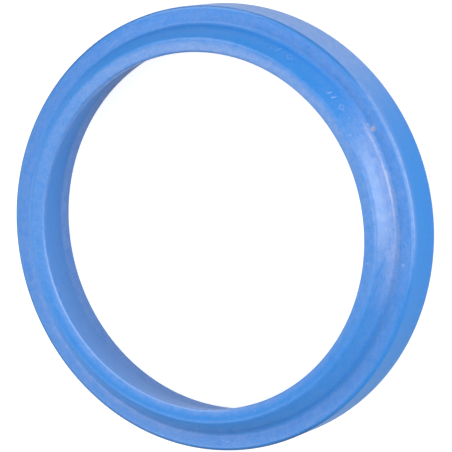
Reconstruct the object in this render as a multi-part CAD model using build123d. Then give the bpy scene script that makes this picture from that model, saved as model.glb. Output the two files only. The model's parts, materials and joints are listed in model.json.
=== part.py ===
from build123d import *
import os

# Wiper seal: a moulded ring that scrapes dirt off a sliding rod where the rod enters a cylinder head.
# Millimetres. The ring's axis is Z, its flat back face lies on Z = 0 and the wiping lip points to +Z.
# Every size below can be changed by itself. Radii of the section follow from the rod, so the whole
# ring grows with the rod as it does from one size to the next.

# The rod and the housing it works in
rod_diameter = 50.0      # rod that slides through the lip
section_width = 6.0      # rod surface to housing wall, so the outer diameter is 62
body_height = 7.0        # the part that sits in the housing groove
lip_rise = 3.0           # how far the lip stands out of the groove, 10 over all

# The wiping lip
lip_squeeze = 0.3        # the free lip is smaller than the rod by this much all round
lip_land = 0.6           # short straight edge that touches the rod
lip_face_width = 1.9     # trimmed end face of the lip, measured along the radius
lip_face_drop = 0.4      # the end face slopes down this much towards the rod
lip_face_crown = 0.09    # and swells past a straight slope by this much
flank_bulge = 0.22       # the outer flank of the lip swells past a straight cone by this much

# The body
shelf_width = 2.5        # flat front shelf around the lip
rod_clearance = 1.15     # gap between the rod and the bore behind the lip
back_land = 2.4          # straight stretch of the bore, from the back face up to the cone

# Rounded corners, and the chamfers that break the edges of the body
foot_radius = 0.8        # hollow corner between shelf and flank
lip_edge_radius = 0.3    # lip end face into its land
cone_blend_radius = 4.0  # hollow bend between the straight bore and the cone
front_chamfer_width = 0.5    # shelf into outer wall: low and wide, so the shelf rolls off softly
front_chamfer_height = 0.25  # its drop down the wall
back_chamfer = 0.2       # back face into outer wall, leads the ring into its groove
bore_chamfer = 0.1       # back face into bore

rod_radius = rod_diameter / 2
outer_radius = rod_radius + section_width
lip_radius = rod_radius - lip_squeeze
shoulder_distance = lip_radius + lip_face_width
foot_distance = outer_radius - shelf_width
bore_radius = rod_radius + rod_clearance
shoulder_height = body_height + lip_rise
lip_height = shoulder_height - lip_face_drop


def section_outline():
    """Closed outline of the ring's section, as (radius, height) in the XZ plane, with sharp corners.

    It runs along the back face, up the outer wall, over the front chamfer, in along the shelf, up the
    swelling flank to the trimmed shoulder, down the crowned end face to the rod edge, down the land and
    the cone, and back down the straight bore.
    """
    back_bore = (bore_radius, 0)
    back_outer = (outer_radius, 0)
    wall_top = (outer_radius, body_height - front_chamfer_height)
    shelf_edge = (outer_radius - front_chamfer_width, body_height)
    foot = (foot_distance, body_height)
    shoulder = (shoulder_distance, shoulder_height)
    lip_edge = (lip_radius, lip_height)
    land_end = (lip_radius, lip_height - lip_land)
    cone_end = (bore_radius, back_land)

    outside = Polyline(back_bore, back_outer, wall_top, shelf_edge, foot)
    flank = SagittaArc(foot, shoulder, -flank_bulge)
    end_face = SagittaArc(shoulder, lip_edge, -lip_face_crown)
    inside = Polyline(lip_edge, land_end, cone_end, back_bore)
    rounded = (
        (foot, foot_radius),
        (lip_edge, lip_edge_radius),
        (cone_end, cone_blend_radius),
    )
    chamfered = (
        (back_outer, back_chamfer),
        (back_bore, bore_chamfer),
    )
    return outside + flank + end_face + inside, rounded, chamfered


def corner_at(section, point):
    """The vertex of the section that lies at a named corner."""
    return section.vertices().sort_by_distance(Vector(*point))[0]


def ring_section():
    """The section as a face, each named corner rounded or chamfered to its own size."""
    outline, rounded, chamfered = section_outline()
    section = make_face(outline)
    for corner, radius in rounded:
        section = fillet(corner_at(section, corner), radius)
    for corner, size in chamfered:
        section = chamfer(corner_at(section, corner), size)
    return Plane.XZ * section


def wiper_ring():
    """The whole seal, one moulded piece: its section turned once about the rod's axis."""
    return revolve(ring_section(), Axis.Z, 360)


ring = wiper_ring()
ring.label = "wiper_ring"

os.makedirs("parts", exist_ok=True)
export_step(ring, "parts/wiper_ring.step")
print("outer diameter", 2 * outer_radius, "lip diameter", 2 * lip_radius)
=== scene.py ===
import bpy
import json
import math
import numpy as np
from mathutils import Matrix, Vector


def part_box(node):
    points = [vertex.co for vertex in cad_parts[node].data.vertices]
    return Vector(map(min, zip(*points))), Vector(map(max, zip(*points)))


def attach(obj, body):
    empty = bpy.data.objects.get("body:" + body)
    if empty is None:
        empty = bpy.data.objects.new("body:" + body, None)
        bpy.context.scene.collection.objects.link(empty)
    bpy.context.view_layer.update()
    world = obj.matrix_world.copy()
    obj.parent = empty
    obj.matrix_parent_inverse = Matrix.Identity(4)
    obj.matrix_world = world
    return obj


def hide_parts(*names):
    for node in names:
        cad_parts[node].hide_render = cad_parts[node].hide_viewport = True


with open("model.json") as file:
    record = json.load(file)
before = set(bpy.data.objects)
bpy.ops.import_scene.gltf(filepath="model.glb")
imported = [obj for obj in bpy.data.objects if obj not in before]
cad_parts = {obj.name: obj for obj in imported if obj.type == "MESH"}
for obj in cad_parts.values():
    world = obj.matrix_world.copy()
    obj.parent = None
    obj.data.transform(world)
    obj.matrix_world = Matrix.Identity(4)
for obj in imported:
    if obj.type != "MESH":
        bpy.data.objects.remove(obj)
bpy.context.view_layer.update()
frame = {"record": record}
mm = 0.001                     # everything in the dictionaries below is in millimetres and degrees
ringName = "wiper_ring"
mounts = {m["name"]: m for m in frame["record"]["mounts"]}
boxLow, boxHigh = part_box(ringName)
outerRadius = (boxHigh.x - boxLow.x) / 2 / mm
overallHeight = boxHigh.z / mm
lipRadius = mounts["rod_lip"]["dims"]["r_mm"]
print("frame: outer radius %.2f, over all %.2f, lip radius %.2f" % (outerRadius, overallHeight, lipRadius))


# The moulded section. Its corners are walked with the rubber on the left, starting on the back face
section = {
    "bodyHeight": 7.0,
    "shelfWidth": 2.5,
    "lipFaceWidth": 1.9,
    "lipFaceDrop": 0.4,
    "lipFaceCrown": 0.09,
    "flankBulge": 0.22,
    "lipLand": 0.6,
    "backLand": 2.4,
    "boreRadius": 26.15,
    "backChamfer": 0.2,
    "frontChamfer": 0.5,
    "frontChamferHeight": 0.25,
    "boreChamfer": 0.1,
    "frontSoftness": 0.2,      # how far each corner's rounding reaches along both of its sides
    "backSoftness": 0.03,
    "footReach": 0.55,
    "shoulderReach": 0.38,
    "lipReach": 0.34,
    "landReach": 0.06,
    "coneReach": 0.45,
}


# A side between two corners swells sideways as a parabola:
# point = start + u * chord + 4 * bulge * u * (1 - u) * normal, with u from 0 to 1 along the chord
def sidePoints(start, end, bulge, shares):
    u = np.atleast_1d(shares)[:, None]
    chord = end - start
    normal = np.array([chord[1], -chord[0]]) / np.hypot(*chord)
    points = start + u * chord + 4 * bulge * u * (1 - u) * normal
    tangents = chord + 4 * bulge * (1 - 2 * u) * normal
    return points, tangents / np.hypot(tangents[:, 0], tangents[:, 1])[:, None]


# A corner is a conic through both tangent points, a circular arc where both reaches are equal:
# point = ((1-u)^2 before + 2 weight u (1-u) corner + u^2 after) / the sum of the three factors,
# with the cosine of half the turn as the weight
def cornerPoints(before, directionIn, after, directionOut, shares):
    gap = after - before
    cross = directionIn[0] * directionOut[1] - directionIn[1] * directionOut[0]
    reach = (gap[0] * directionOut[1] - gap[1] * directionOut[0]) / cross
    corner = before + reach * directionIn
    weight = math.sqrt((1 + directionIn @ directionOut) / 2)
    u = shares[:, None]
    parts = (1 - u) ** 2, 2 * weight * u * (1 - u), u ** 2
    return (parts[0] * before + parts[1] * corner + parts[2] * after) / sum(parts)


# The closed outline: every side between its trimmed ends, then the rounding of the corner after it.
# The second array is the side's number, which runs on to the next number through the rounding
def sectionOutline():
    s = section
    wall, body, top, bore = outerRadius, s["bodyHeight"], overallHeight, s["boreRadius"]
    shoulder, edge = lipRadius + s["lipFaceWidth"], top - s["lipFaceDrop"]
    soft, hard = s["frontSoftness"], s["backSoftness"]
    back, front, inner = s["backChamfer"], s["frontChamfer"], s["boreChamfer"]
    # radius, height, reach of the rounding, its steps, then bulge and steps of the side that follows
    corners = [
        (bore + inner, 0, hard, 2, 0, 2),
        (wall - back, 0, hard, 2, 0, 1),
        (wall, back, hard, 2, 0, 6),
        (wall, body - s["frontChamferHeight"], soft, 3, 0, 2),
        (wall - front, body, soft, 3, 0, 14),
        (wall - s["shelfWidth"], body, s["footReach"], 7, s["flankBulge"], 28),
        (shoulder, top, s["shoulderReach"], 4, s["lipFaceCrown"], 10),
        (lipRadius, edge, s["lipReach"], 7, 0, 1),
        (lipRadius, edge - s["lipLand"], s["landReach"], 2, 0, 9),
        (bore, s["backLand"], s["coneReach"], 4, 0, 3),
        (bore, inner, hard, 2, 0, 1),
    ]
    at = [np.array(corner[:2], float) for corner in corners]
    count = len(corners)
    outline, sideNumber = [], []
    for i in range(count):
        j, k = (i + 1) % count, (i + 2) % count
        reach, bulge, steps = corners[i][2], corners[i][4], corners[i][5]
        nextReach, cornerSteps, nextBulge = corners[j][2:5]
        length, nextLength = np.hypot(*(at[j] - at[i])), np.hypot(*(at[k] - at[j]))
        shares = np.linspace(reach / length, 1 - nextReach / length, steps + 1)
        points, tangents = sidePoints(at[i], at[j], bulge, shares)
        onward, onwardTangent = sidePoints(at[j], at[k], nextBulge, nextReach / nextLength)
        turned = np.linspace(0, 1, cornerSteps + 1)[1:-1]
        outline += [points, cornerPoints(points[-1], tangents[-1], onward[0], onwardTangent[0], turned)]
        sideNumber += [np.full(len(points), float(i)), i + turned]
    return np.concatenate(outline), np.concatenate(sideNumber)


ring = {
    "coarseStep": 0.75,        # degrees between sections
    "fineStep": 0.15,          # the same over the marks and scratches
    "fineFrom": [(14.0, 54.0), (102.0, 109.0), (145.5, 149.5), (250.0, 265.5), (341.5, 345.0)],
}


# Section angles: coarse all round, fine over the marks and scratches, evenly spaced within each stretch
def sectionAngles():
    stops = [0.0] + [a for pair in ring["fineFrom"] for a in pair] + [360.0]
    angles = []
    for i, (start, end) in enumerate(zip(stops[:-1], stops[1:])):
        step = ring["fineStep"] if i % 2 else ring["coarseStep"]
        angles.append(np.linspace(start, end, max(2, round((end - start) / step)) + 1)[:-1])
    return np.radians(np.concatenate(angles))


# Raised mould marks on the flank: plain dots, diamonds and bars
marks = {
    "height": 0.08,
    "softness": 0.08,
    "stroke": 0.09,            # half the width of a line
    "slope": 1.12,             # length up the flank for each millimetre of height
    "onCorners": 0.5,          # the marks may run on over this share of the corners beside the flank
    # kind, angle round the ring, height up the flank, size, turn
    "shapes": [
        ("dot", 51.6, 8.75, 0.15, 0),
        ("bar", 49.6, 8.4, 0.4, 74),
        ("diamond", 45.5, 8.5, 0.5, 0),
        ("bar", 30.0, 8.7, 0.36, 72),
        ("bar", 28.2, 8.7, 0.36, 72),
        ("diamond", 24.6, 8.7, 0.42, 0),
        ("dot", 21.0, 8.72, 0.13, 0),
        ("dot", 16.4, 9.6, 0.1, 0),
        ("bar", 263.7, 8.6, 0.42, 86),
        ("bar", 259.3, 8.4, 0.4, 80),
        ("bar", 252.0, 8.6, 0.36, 98),
    ],
}


# Distance from each point to a mark's centre line, with a = along the ring and h = up the flank.
# Dot: from its disc, one stroke smaller. Diamond: ||x| + |y| - size| / root 2. Bar: from its segment
def markDistance(kind, a, h, size, turn):
    c, s = math.cos(math.radians(turn)), math.sin(math.radians(turn))
    x, y = a * c + h * s, h * c - a * s
    if kind == "dot":
        return np.maximum(np.hypot(x, y) - size + marks["stroke"], 0)
    if kind == "diamond":
        return np.abs(np.abs(x) + np.abs(y) - size) / math.sqrt(2)
    return np.hypot(np.maximum(np.abs(x) - size, 0), y)


# Relief = height * (3 f^2 - 2 f^3), where f falls from 1 to 0 over the softness outside half a line's width
def markRelief(angle, radius, height):
    relief = np.zeros(np.broadcast(angle, radius).shape)
    for kind, at, level, size, turn in marks["shapes"]:
        a = (np.mod(angle - math.radians(at) + math.pi, 2 * math.pi) - math.pi) * radius
        h = (height - level) * marks["slope"]
        outside = markDistance(kind, a, h, size, turn) - marks["stroke"]
        fade = np.clip(1 - outside / marks["softness"], 0, 1)
        relief = np.maximum(relief, fade * fade * (3 - 2 * fade))
    return relief * marks["height"]


# Uneven flow of the moulding: a few slow waves round the ring, off the back face
flow = {
    "depth": 0.006,
    "inset": 2.2,              # the sum of the sizes, so no point moves out of the ring's box
    "fromSide": 0.4,           # side numbers between which the flow shows
    "toSide": 9.6,
    # turns round the ring, start in radians, size, then radians for each millimetre of radius and of height
    "waves": [
        (3, 0.6, 1.0, 0, 0),
        (5, 2.1, 0.7, 0, 0.2),
        (9, 0.0, 0.5, 1, 0),
    ],
}


# Shift = -depth * (inset + the sum of size * sin(turns * angle + start + by radius + by height))
def flowShift(angle, radius, height):
    slow = 0
    for turns, start, size, byRadius, byHeight in flow["waves"]:
        slow = slow + size * np.sin(turns * angle + start + byRadius * radius + byHeight * height)
    return -flow["depth"] * (flow["inset"] + slow)


# Each side's finish: share of pale bloom and painted sheen on it, roughness, and how strongly the streaks
# round the ring show
sideFinish = [
    ("back", 0.12, 0.45, 0.5),
    ("backChamfer", 0.12, 0.40, 0.5),
    ("wall", 0.0, 0.5, 0.5),
    ("frontChamfer", 0.05, 0.24, 0.3),
    ("shelf", 0.165, 0.42, 1.0),
    ("flank", 0.07, 0.30, 1.0),
    ("endFace", 0.16, 0.36, 0.5),
    ("land", 0.12, 0.27, 0.4),
    ("cone", 0.10, 0.48, 0.5),
    ("boreLand", 0.25, 0.5, 0.5),
    ("boreChamfer", 0.12, 0.42, 0.5),
]
sideNames = [row[0] for row in sideFinish]
finishNames = ("bloom", "roughness", "streak")

# Circles round the ring that painted highlights, painted shade and the finish follow: radius, height, and how
# far it reaches from the circle
circles = {
    "lipEdge": (24.80, 9.58, 0.10),
    "footLine": (28.42, 7.36, 0.22),
    "footHollow": (28.5, 7.1, 0.32),
    "shelfMiddle": (29.0, 7.0, 0.5),
    "frontEdge": (30.94, 6.74, 0.22),
    "edgeLine": (30.82, 6.86, 0.11),
    "edgeBand": (30.90, 6.81, 0.18),
}

# Parts of a side, each with the measure where its share is 0 and the one where it is 1
flankLow = (9.3, 7.7)
flankHigh = (8.4, 9.0)
endOuter = (25.2, 25.8)

# Changes of the finish along the ring, most bloom changes being painted highlights, painted reflections and
# painted shade: zone, value, change, then the middle, half and softness of its stretch
finishChanges = [
    # painted highlight on the flank near 0°, with real streaky scuffs in it; painted shade on the flank near
    # 65°
    ("flank", "bloom", 0.18, -4, 13, 13),
    ("flank", "bloom", -0.03, 65, 40, 15),
    # painted highlight on the lower flank near 0°; paler lower flank near 225°
    ("flankLow", "bloom", 0.15, -8, 12, 14),
    ("flankLow", "bloom", 0.08, 225, 25, 15),
    # painted shade on the upper flank near 240° and 120°
    ("flankHigh", "bloom", -0.04, 240, 15, 20),
    ("flankHigh", "bloom", -0.07, 120, 12, 18),
    # painted highlight along the foot line near 0°
    ("footLine", "bloom", 0.30, 6, 7, 5),
    ("footLine", "bloom", 0.04, -10, 6, 10),
    ("shelfMiddle", "bloom", 0.10, 212, 18, 20),
    ("shelf", "bloom", -0.04, 316, 10, 12),
    # painted highlight on the front edge and chamfer near 0°
    ("frontEdge", "bloom", 0.30, 3, 16, 9),
    ("frontChamfer", "bloom", 0.05, 3, 16, 9),
    # painted reflection of the lamps above on the wall near 62°
    ("wall", "bloom", 0.30, 62, 20, 20),
    # end face lighter near 75°: painted light
    ("endFace", "bloom", 0.08, 75, 35, 35),
    # painted highlight on the inner end face near 245°, painted shade on its outer part
    ("endFace", "bloom", 0.03, 245, 40, 20),
    ("endOuter", "bloom", -0.12, 250, 45, 25),
    # painted shade on the cone near 125°
    ("cone", "bloom", -0.09, 125, 30, 30),
    ("flank", "roughness", 0.20, 195, 95, 20),
    ("cone", "roughness", 0.10, 120, 15, 20),
    ("frontEdge", "roughness", -0.12, 0, 180, 1),
]

# Painted shade: two fine dark lines along the front edge, and darker films in the foot hollow and over part
# of the shelf.
# Zone and strength, then the middle, half and softness of its stretch
grime = {
    "lines": [("edgeLine", 0.5, 64, 26, 12), ("edgeBand", 0.8, 196, 84, 14)],
    "films": [("footHollow", 0.26, 328, 22, 14), ("shelf", 0.06, 150, 75, 25)],
}

# Paler colour: a painted highlight along the lip edge, raised marks made paler, partly rubbed and partly a
# painted highlight on their edges, and real scratches
scuffsAndHighlights = {
    "onMarks": 0.22,
    # the painted highlight along the lip edge: strength, then the middle, half and softness of its stretch
    "lipEdge": [(1.5, 224, 32, 14), (0.5, 158, 12, 12)],
    # start and end as (angle, radius, height), half width, strength
    "scratches": [
        ((259.4, 29.75, 7.0), (260.6, 29.55, 7.0), 0.07, 0.9),
        ((258.3, 29.5, 7.0), (259.2, 29.45, 7.0), 0.05, 0.5),
        ((108.0, 29.0, 7.0), (102.7, 29.4, 7.0), 0.05, 0.7),
        ((106.5, 29.6, 7.0), (104.8, 29.75, 7.0), 0.04, 0.5),
        ((147.2, 28.9, 7.0), (148.3, 28.6, 7.05), 0.05, 0.7),
        ((146.4, 29.3, 7.0), (147.0, 29.1, 7.0), 0.04, 0.5),
        ((343.0, 29.95, 7.0), (344.0, 29.55, 7.0), 0.05, 0.7),
        ((342.2, 29.4, 7.0), (342.6, 29.25, 7.0), 0.04, 0.5),
    ],
}


# 1 within a stretch of the ring, and outside it exp(-(distance / softness)^2), all in degrees
def stretch(angle, middle, half, softness):
    away = np.abs(np.mod(np.degrees(angle) - middle + 180, 360) - 180)
    return np.exp(-(np.maximum(away - half, 0) / softness) ** 2)


# Share of each zone at each point of the outline. A side: 1 on it, falling to 0 through its corners.
# A part of a side: the side's share * a straight rise. A circle: exp(-(distance / reach)^2)
def zoneShares(sideNumber, radius, height):
    zones = {name: np.clip(1 - np.abs(sideNumber - number), 0, 1) for number, name in enumerate(sideNames)}
    for name, (atRadius, atHeight, reach) in circles.items():
        zones[name] = np.exp(-((radius - atRadius) ** 2 + (height - atHeight) ** 2) / reach ** 2)
    zones["shelfMiddle"] = zones["shelfMiddle"] * zones["shelf"]
    rises = (("flankLow", "flank", height, flankLow), ("flankHigh", "flank", height, flankHigh),
             ("endOuter", "endFace", radius, endOuter))
    for name, side, measure, (none, whole) in rises:
        zones[name] = zones[side] * np.clip((measure - none) / (whole - none), 0, 1)
    return zones


# Finish at each point = its side's own values, blended through the corners, and every change of the table:
# change * share of its zone * its stretch
def finishValues(angle, sideNumber, zones):
    stops = np.arange(len(sideFinish) + 1)
    values = {}
    for column, name in enumerate(finishNames, 1):
        along = np.interp(sideNumber, stops, [row[column] for row in sideFinish + sideFinish[:1]])
        values[name] = np.broadcast_to(along, (len(angle), len(along))).copy()
    for zone, name, change, middle, half, softness in finishChanges:
        values[name] += change * zones[zone] * stretch(angle, middle, half, softness)
    return np.stack([values[name] for name in finishNames], -1)


# Painted shade at each point = the greatest of the lines + the sum of the films,
# each of them strength * share of its zone * its stretch
def paintedShadeValues(angle, zones):
    layers = {kind: [strength * zones[zone] * stretch(angle, *where) for zone, strength, *where in rows]
              for kind, rows in grime.items()}
    return np.maximum.reduce(layers["lines"]) + sum(layers["films"])


# Cylinder places in degrees and mm to points in mm: x = r cos(a), y = r sin(a), z = z
def polarPoint(place):
    angle = math.radians(place[0])
    return np.array([place[1] * math.cos(angle), place[1] * math.sin(angle), place[2]])


# Scuffing and painted highlight at each point = the greatest of the painted highlight along the lip edge, the
# marks made paler (partly rubbed, partly a painted highlight on their edges), and for each scratch strength *
# exp(-(distance from its line / half width)^2)
def scuffAndHighlightValues(points, angle, zones, relief):
    # painted highlight along the lip edge
    paintedLipHighlight = sum(strength * stretch(angle, *where) for strength, *where in scuffsAndHighlights["lipEdge"])
    values = np.maximum(zones["lipEdge"] * paintedLipHighlight, scuffsAndHighlights["onMarks"] * relief / marks["height"])
    for start, end, half, strength in scuffsAndHighlights["scratches"]:
        a, b = polarPoint(start), polarPoint(end)
        share = np.clip(((points - a) @ (b - a)) / ((b - a) @ (b - a)), 0, 1)
        away = np.linalg.norm(points - a - share[..., None] * (b - a), axis=-1)
        values = np.maximum(values, strength * np.exp(-(away / half) ** 2))
    return values


# Ring surface: x = r cos(a), y = r sin(a), z = z, with (r, z) from the outline, moved along its normal by the
# relief of the marks and the shift of the flow
def ringMesh():
    outline, sideNumber = sectionOutline()
    tangent = np.roll(outline, -1, 0) - np.roll(outline, 1, 0)
    normal = np.stack([tangent[:, 1], -tangent[:, 0]], 1) / np.hypot(tangent[:, 0], tangent[:, 1])[:, None]
    angle = sectionAngles()[:, None]
    radius, height = outline[None, :, 0], outline[None, :, 1]
    onFlank = np.abs(sideNumber - sideNames.index("flank")) < marks["onCorners"]
    flows = (sideNumber > flow["fromSide"]) & (sideNumber < flow["toSide"])
    relief = np.where(onFlank, markRelief(angle, radius, height), 0)
    push = relief + np.where(flows, flowShift(angle, radius, height), 0)
    r = radius + push * normal[None, :, 0]
    z = height + push * normal[None, :, 1]
    points = np.stack([r * np.cos(angle), r * np.sin(angle), z], -1) * mm
    rows, columns = points.shape[:2]
    i, j = np.meshgrid(np.arange(rows), np.arange(columns), indexing="ij")
    here, onward = i * columns, (i + 1) % rows * columns
    nextColumn = (j + 1) % columns
    quads = np.stack([here + j, onward + j, onward + nextColumn, here + nextColumn], -1)
    mesh = bpy.data.meshes.new("moulded_ring")
    mesh.from_pydata(points.reshape(-1, 3), [], quads.reshape(-1, 4))
    mesh.polygons.foreach_set("use_smooth", np.ones(len(mesh.polygons), bool))
    zones = zoneShares(sideNumber, outline[:, 0], outline[:, 1])
    # Point values: the finish with pale bloom, painted sheen, highlights and shade; the scuffing with
    # scratches, paler marks and the painted highlight of the lip edge; the painted shade
    attributes = (
        ("finish", "FLOAT_VECTOR", "vector", finishValues(angle, sideNumber, zones)),
        ("scuff", "FLOAT", "value", scuffAndHighlightValues(points / mm, angle, zones, relief)),
        ("grime", "FLOAT", "value", paintedShadeValues(angle, zones)),
    )
    for name, kind, field, values in attributes:
        attribute = mesh.attributes.new(name, kind, "POINT")
        attribute.data.foreach_set(field, values.astype(np.float32).ravel())
    mesh.update()
    return mesh


mouldedRing = bpy.data.objects.new("moulded_ring", ringMesh())
bpy.context.scene.collection.objects.link(mouldedRing)
print("ring: %d faces" % len(mouldedRing.data.polygons))


# Small helpers for materials: a node by type with its settings, a link between two sockets, and socket values
def addNode(tree, kind, **settings):
    node = tree.nodes.new(kind)
    for name, value in settings.items():
        setattr(node, name, value)
    return node


def connect(tree, source, target):
    tree.links.new(source, target)


def setInputs(node, values):
    for name, value in values.items():
        node.inputs[name].default_value = value


# A value of the mesh's own, by name
def attributeOf(tree, name):
    return addNode(tree, "ShaderNodeAttribute", attribute_name=name).outputs["Fac"]


# A noise node reading a vector, and for streaks also a fourth coordinate
def noiseOf(tree, vector, scale, detail, roughness, fourth=None):
    noise = addNode(tree, "ShaderNodeTexNoise", noise_dimensions="4D" if fourth else "3D")
    setInputs(noise, {"Scale": scale, "Detail": detail, "Roughness": roughness})
    connect(tree, vector, noise.inputs["Vector"])
    if fourth:
        connect(tree, fourth, noise.inputs["W"])
    return noise.outputs["Fac"]


# Value = source carried from one range to another, clamped
def rangeOf(tree, source, low, high, newLow, newHigh):
    node = addNode(tree, "ShaderNodeMapRange")
    setInputs(node, {"From Min": low, "From Max": high, "To Min": newLow, "To Max": newHigh})
    connect(tree, source, node.inputs["Value"])
    return node.outputs["Result"]


# Value = first (operation) second, where either may be a number
def mathOf(tree, operation, first, second=0.0, clamp=False):
    node = addNode(tree, "ShaderNodeMath", operation=operation, use_clamp=clamp)
    for socket, value in zip(node.inputs, (first, second)):
        if isinstance(value, (int, float)):
            socket.default_value = value
        else:
            connect(tree, value, socket)
    return node.outputs[0]


# Colour = first, carried towards a second colour by a share
def mixColour(tree, share, first, second):
    node = addNode(tree, "ShaderNodeMix", data_type="RGBA")
    for socket, value in ((node.inputs[0], share), (node.inputs[6], first), (node.inputs[7], second)):
        if isinstance(value, tuple):
            socket.default_value = value
        else:
            connect(tree, value, socket)
    return node.outputs[2]


# Blue cast polyurethane, a little milky, with flow streaks round the ring and a fine pale bloom on its faces
# that also carries painted sheen, highlights and shade
polyurethane = {
    "clean": (0.012, 0.203, 0.615, 1),
    # pale bloom of the surface, also used for painted sheen and painted highlights
    "bloom": (0.46, 0.51, 0.72, 1),
    # pale colour of scratches and dust, also of the painted highlights on the lip edge and marks
    "scuffed": (0.52, 0.62, 0.86, 1),
    "brown": (0.42, 0.39, 0.50, 1),
    # dark blue of the painted shade
    "grime": (0.03, 0.08, 0.20, 1),
    "scuffShare": 0.35,        # how far a full value of scuffing and painted highlight carries the colour
    "paleShare": 0.5,          # the same for a pale speck
    "mottle": (900.0, 5.0, 0.75),                # noise: scale per metre, detail, roughness
    "mottleRange": (0.3, 0.7, 0.58, 1.42),       # from these noise values to these shares of the bloom and painted sheen
    "fineStreak": (3000.0, 14.0, 2.0, 0.6),      # noise: scale across and along, detail, roughness
    "wideStreak": (900.0, 7.0, 3.0, 0.6),
    "streakMiddle": 1.0,       # what the two streak noises add up to on average
    "streakRoughness": 0.13,
    "grain": (4200.0, 1.0, 0.5),
    "grainRange": (0.25, 0.75, 0.91, 1.09),      # fine unevenness of the colour's brightness
    "pits": (2600.0, 3.0, 0.6),
    "bumpStrength": 0.25,
    "bumpDepth": 0.04,
    "ior": 1.5,
    "specular": 0.3,
    "milkiness": 0.10,
    "milkRadius": (0.2, 0.5, 1.2),
}

# Specks of dust, pale and brown: angle, radius, height, half size, strength
specks = {
    "core": 0.45,              # share of a speck's size that is at full strength
    "pale": [
        (281.1, 30.6, 7.0, 0.14, 0.7),
        (273.8, 25.65, 9.87, 0.12, 0.6),
        (337.9, 25.6, 9.86, 0.15, 0.6),
        (338.1, 29.5, 7.0, 0.22, 0.6),
        (333.5, 29.1, 7.0, 0.16, 0.5),
        (355.6, 28.4, 7.3, 0.12, 0.6),
        (87.6, 29.5, 7.0, 0.12, 0.5),
        (15.6, 29.3, 7.0, 0.26, 0.5),
        (16.4, 26.9, 9.66, 0.12, 0.5),
    ],
    "brown": [
        (15.2, 29.05, 7.0, 0.48, 0.7),
        (16.9, 28.75, 7.0, 0.24, 0.45),
        (58.4, 28.95, 7.0, 0.10, 0.5),
    ],
}


# Streaks follow the ring: noise over (radius, height, cos a, sin a), stretched far along the last two
def streakNoise(tree, place, across, along, detail, roughness):
    split = addNode(tree, "ShaderNodeSeparateXYZ")
    connect(tree, place, split.inputs[0])
    x, y, z = split.outputs
    angle = mathOf(tree, "ARCTAN2", y, x)
    squares = mathOf(tree, "ADD", mathOf(tree, "MULTIPLY", x, x), mathOf(tree, "MULTIPLY", y, y))
    radius = mathOf(tree, "SQRT", squares)
    joined = addNode(tree, "ShaderNodeCombineXYZ")
    connect(tree, mathOf(tree, "MULTIPLY", radius, across), joined.inputs[0])
    connect(tree, mathOf(tree, "MULTIPLY", z, across), joined.inputs[1])
    connect(tree, mathOf(tree, "MULTIPLY", mathOf(tree, "COSINE", angle), along), joined.inputs[2])
    fourth = mathOf(tree, "MULTIPLY", mathOf(tree, "SINE", angle), along)
    return noiseOf(tree, joined.outputs[0], 1.0, detail, roughness, fourth)


# One mask for a list of specks: the greatest of them, each at full strength in its core and 0 at its size
def speckMask(tree, place, group):
    mask = None
    for angle, radius, height, size, strength in group:
        apart = addNode(tree, "ShaderNodeVectorMath", operation="DISTANCE")
        connect(tree, place, apart.inputs[0])
        apart.inputs[1].default_value = tuple(polarPoint((angle, radius, height)) * mm)
        one = rangeOf(tree, apart.outputs["Value"], specks["core"] * size * mm, size * mm, strength, 0.0)
        mask = mathOf(tree, "MAXIMUM", mask, one) if mask else one
    return mask


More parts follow.
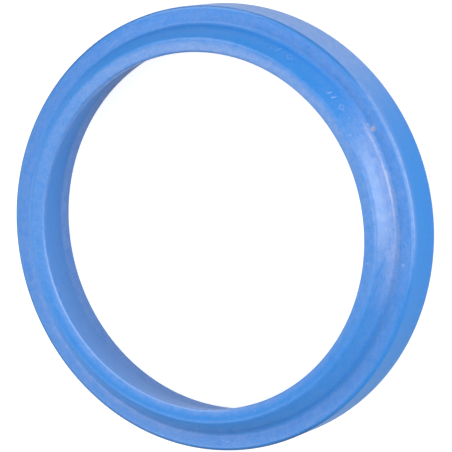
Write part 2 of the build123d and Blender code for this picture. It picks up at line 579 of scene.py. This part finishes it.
def polyurethaneMaterial():
    p = polyurethane
    material = bpy.data.materials.new("bluePolyurethane")
    material.use_nodes = True
    tree = material.node_tree
    shader = tree.nodes["Principled BSDF"]
    place = addNode(tree, "ShaderNodeTexCoord").outputs["Object"]
    finish = addNode(tree, "ShaderNodeAttribute", attribute_name="finish")
    parts = addNode(tree, "ShaderNodeSeparateXYZ")
    connect(tree, finish.outputs["Vector"], parts.inputs[0])
    bloom, rough, streaky = parts.outputs

    # The pattern: streaks round the ring, and the mottle that breaks up the bloom and painted sheen
    fineStreak = streakNoise(tree, place, *p["fineStreak"])
    wideStreak = streakNoise(tree, place, *p["wideStreak"])
    streaks = mathOf(tree, "SUBTRACT", mathOf(tree, "ADD", fineStreak, wideStreak), p["streakMiddle"])
    streak = mathOf(tree, "MULTIPLY", streaks, streaky)
    mottle = rangeOf(tree, noiseOf(tree, place, *p["mottle"]), *p["mottleRange"])
    patchy = mathOf(tree, "ADD", mottle, streak)

    # The colour: pale bloom and painted sheen over the clean colour, then scuffs with painted highlights,
    # specks and painted shade over both
    colour = mixColour(tree, mathOf(tree, "MULTIPLY", bloom, patchy, clamp=True), p["clean"], p["bloom"])
    # scuffing, with the painted highlights of the lip edge and marks
    scuffed = mathOf(tree, "MULTIPLY", attributeOf(tree, "scuff"), p["scuffShare"])
    colour = mixColour(tree, scuffed, colour, p["scuffed"])
    pale = mathOf(tree, "MULTIPLY", speckMask(tree, place, specks["pale"]), p["paleShare"])
    colour = mixColour(tree, pale, colour, p["scuffed"])
    colour = mixColour(tree, speckMask(tree, place, specks["brown"]), colour, p["brown"])
    # painted shade: darker lines at the front edge, and darker films in the foot hollow and on the shelf
    paintedShadeShare = mathOf(tree, "MULTIPLY", attributeOf(tree, "grime"), patchy, clamp=True)
    colour = mixColour(tree, paintedShadeShare, colour, p["grime"])
    grain = addNode(tree, "ShaderNodeHueSaturation")
    connect(tree, colour, grain.inputs["Color"])
    brightness = rangeOf(tree, noiseOf(tree, place, *p["grain"]), *p["grainRange"])
    connect(tree, brightness, grain.inputs["Value"])
    connect(tree, grain.outputs["Color"], shader.inputs["Base Color"])

    # The surface: streaks also change the roughness and, with fine pits, the bump
    uneven = mathOf(tree, "MULTIPLY", streak, p["streakRoughness"])
    connect(tree, mathOf(tree, "ADD", rough, uneven), shader.inputs["Roughness"])
    bump = addNode(tree, "ShaderNodeBump")
    setInputs(bump, {"Strength": p["bumpStrength"], "Distance": p["bumpDepth"] * mm})
    connect(tree, mathOf(tree, "ADD", streak, noiseOf(tree, place, *p["pits"])), bump.inputs["Height"])
    connect(tree, bump.outputs["Normal"], shader.inputs["Normal"])
    setInputs(shader, {
        "IOR": p["ior"],
        "Specular IOR Level": p["specular"],
        "Subsurface Weight": p["milkiness"],
        "Subsurface Radius": p["milkRadius"],
        "Subsurface Scale": mm,
    })
    return material


mouldedRing.data.materials.append(polyurethaneMaterial())
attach(mouldedRing, "root")
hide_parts(ringName)
print("material: blue polyurethane")


# The camera looks down on the lip side, at the photograph's angle to the ring's axis
cameraSetup = {
    "target": (0.0, 0.0, 7.0),
    "tilt": 27.88,             # between the ring's axis and the view
    "distance": 387.5,
    "aside": (2.543, 0.553),   # along the camera's own right and up
    "right": (0.8565, -0.2470, -0.4531),
    "pixelsPerMm": 7.24,       # at the target, in a frame of this many pixels
    "frame": 452,
    "sensor": 36.0,
    "clip": (10.0, 10000.0),
}


def makeCamera():
    c = cameraSetup
    tilt = math.radians(c["tilt"])
    back = Vector((math.sin(tilt), 0, math.cos(tilt)))
    right = Vector(c["right"])
    right = (right - right.dot(back) * back).normalized()
    up = back.cross(right)
    data = bpy.data.cameras.new("camera")
    data.sensor_width = c["sensor"]
    data.lens = c["pixelsPerMm"] * c["distance"] / c["frame"] * c["sensor"]
    data.clip_start, data.clip_end = (limit * mm for limit in c["clip"])
    camera = bpy.data.objects.new("camera", data)
    bpy.context.scene.collection.objects.link(camera)
    place = Vector(c["target"]) + c["aside"][0] * right + c["aside"][1] * up + c["distance"] * back
    turn = Matrix((right, up, back)).transposed().to_4x4()
    camera.matrix_world = Matrix.Translation(place * mm) @ turn
    bpy.context.scene.camera = camera


# 1 for rays that show the background as it looks: from the camera, in reflections and through clear parts
def seenRays(tree):
    path = addNode(tree, "ShaderNodeLightPath")
    shown = mathOf(tree, "MAXIMUM", path.outputs["Is Camera Ray"], path.outputs["Is Glossy Ray"])
    return mathOf(tree, "MAXIMUM", shown, path.outputs["Is Transmission Ray"])


# Floor: pale, shown white to the camera and to reflections, and still darkened by the ring's shadow
floorSetup = {
    "size": 3000.0,
    "height": -0.03,
    "albedo": 0.46,
    "glow": 0.76,
}


def makeFloor():
    f = floorSetup
    half = f["size"] / 2 * mm
    corners = np.array([(-half, -half), (half, -half), (half, half), (-half, half)])
    points = np.column_stack([corners, np.full(4, f["height"] * mm)])
    mesh = bpy.data.meshes.new("floor")
    mesh.from_pydata(points, [], [(0, 1, 2, 3)])
    floor = bpy.data.objects.new("floor", mesh)
    bpy.context.scene.collection.objects.link(floor)
    material = bpy.data.materials.new("paleFloor")
    material.use_nodes = True
    tree = material.node_tree
    tree.nodes.remove(tree.nodes["Principled BSDF"])
    matt = addNode(tree, "ShaderNodeBsdfDiffuse")
    setInputs(matt, {"Color": (f["albedo"], f["albedo"], f["albedo"], 1)})
    glow = addNode(tree, "ShaderNodeEmission")
    connect(tree, mathOf(tree, "MULTIPLY", seenRays(tree), f["glow"]), glow.inputs["Strength"])
    both = addNode(tree, "ShaderNodeAddShader")
    connect(tree, matt.outputs[0], both.inputs[0])
    connect(tree, glow.outputs[0], both.inputs[1])
    connect(tree, both.outputs[0], tree.nodes["Material Output"].inputs["Surface"])
    mesh.materials.append(material)


# Soft studio lamps: name, direction round the ring, angle above it, width, height, watts
lampDistance = 800
lamps = [
    ("right", -4, 13, 500, 330, 4.85),
    ("rear", 108, 38, 480, 380, 3.15),
    ("left", 208, 47, 380, 350, 2.7),
    ("leftLow", 168, 22, 450, 350, 0.8),
    ("overhead", -8, 66, 620, 280, 2.9),
]


def makeLamps():
    for name, azimuth, elevation, width, height, watts in lamps:
        a, e = math.radians(azimuth), math.radians(elevation)
        towards = Vector((math.cos(e) * math.cos(a), math.cos(e) * math.sin(a), math.sin(e)))
        data = bpy.data.lights.new(name, "AREA")
        data.shape = "RECTANGLE"
        data.size, data.size_y = width * mm, height * mm
        data.energy = watts
        lamp = bpy.data.objects.new(name, data)
        bpy.context.scene.collection.objects.link(lamp)
        lamp.location = towards * lampDistance * mm
        lamp.rotation_mode = "QUATERNION"
        lamp.rotation_quaternion = towards.to_track_quat("Z", "Y")


# World: white, at these strengths for the light it gives and for how it shows
worldSetup = {"light": 0.03, "shown": 1.0}


def makeWorld():
    world = bpy.data.worlds.new("studio")
    bpy.context.scene.world = world
    world.use_nodes = True
    tree = world.node_tree
    background = tree.nodes["Background"]
    setInputs(background, {"Color": (1, 1, 1, 1)})
    strength = rangeOf(tree, seenRays(tree), 0.0, 1.0, worldSetup["light"], worldSetup["shown"])
    connect(tree, strength, background.inputs["Strength"])


makeCamera()
makeFloor()
makeLamps()
makeWorld()
bpy.context.scene.view_settings.view_transform = "Standard"
print("stage: camera, floor, %d lamps" % len(lamps))
